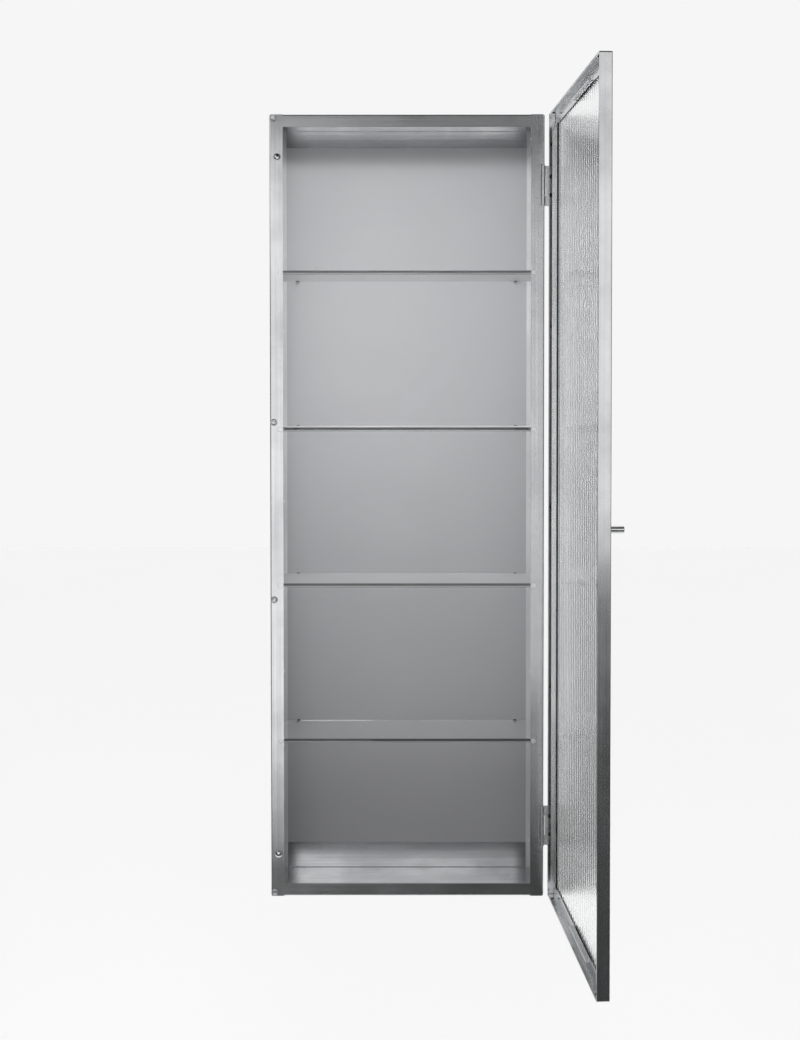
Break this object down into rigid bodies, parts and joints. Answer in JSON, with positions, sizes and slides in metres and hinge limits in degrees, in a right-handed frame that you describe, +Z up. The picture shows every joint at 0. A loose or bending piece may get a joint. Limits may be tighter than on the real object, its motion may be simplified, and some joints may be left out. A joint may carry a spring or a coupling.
{
  "type": "wall cabinet",
  "caption": "Tall narrow steel wall cabinet with clear glass shelves and a side-hinged door with a reeded glass panel, a round bar knob and folded sheet edges.",
  "frame": {"origin": "on the wall plane, on the cabinet's centre line, level with the two wall screws", "axes": "+Z up, +X to the right seen from the front, +Y into the wall"},
  "size_m": [0.4032, 0.4626, 1.0032],
  "materials": {
    "brushed_steel": "brushed along the length",
    "back_grey": "matt",
    "rivet_steel": "satin",
    "shelf_glass": "clear, ground edges",
    "clip_steel": "satin",
    "hinge_steel": "satin",
    "dark_screws": "blackened",
    "bumper_clear": "clear soft dome",
    "magnet_nickel": "polished",
    "reeded_glass": "upright flutes",
    "knob_steel": "polished"
  },
  "bodies": {
    "carcase": {"side_left": "brushed_steel", "side_right": "brushed_steel", "top_panel": "brushed_steel", "bottom_panel": "brushed_steel", "back_panel": "back_grey", "back_rivets": "rivet_steel", "clip_rivets": "rivet_steel", "shelf_1": "shelf_glass", "shelf_clips_1": "clip_steel", "shelf_pegs_1": "clip_steel", "shelf_2": "shelf_glass", "shelf_clips_2": "clip_steel", "shelf_pegs_2": "clip_steel", "shelf_3": "shelf_glass", "shelf_clips_3": "clip_steel", "shelf_pegs_3": "clip_steel", "shelf_4": "shelf_glass", "shelf_clips_4": "clip_steel", "shelf_pegs_4": "clip_steel", "hinge_upper_fixed_leaf": "hinge_steel", "hinge_upper_pin": "hinge_steel", "hinge_lower_fixed_leaf": "hinge_steel", "hinge_lower_pin": "hinge_steel", "fixed_leaf_screws": "dark_screws", "bumpers": "bumper_clear", "catch_magnets": "magnet_nickel"},
    "door": {"door_frame": "brushed_steel", "door_pane": "reeded_glass", "retainer_hinge_side": "brushed_steel", "retainer_knob_side": "brushed_steel", "retainer_top": "brushed_steel", "retainer_bottom": "brushed_steel", "retainer_screws": "dark_screws", "door_leaf_screws": "dark_screws", "knob": "knob_steel", "hinge_lower_door_leaf": "hinge_steel", "hinge_upper_door_leaf": "hinge_steel"}
  },
  "joints": [
    {"name": "door_hinge", "type": "hinge", "parent": "carcase", "child": "door", "pos_m": [0.1735, -0.115, -0.489], "axis": [0, 0, 1], "range_deg": [-93, 17]}
  ]
}
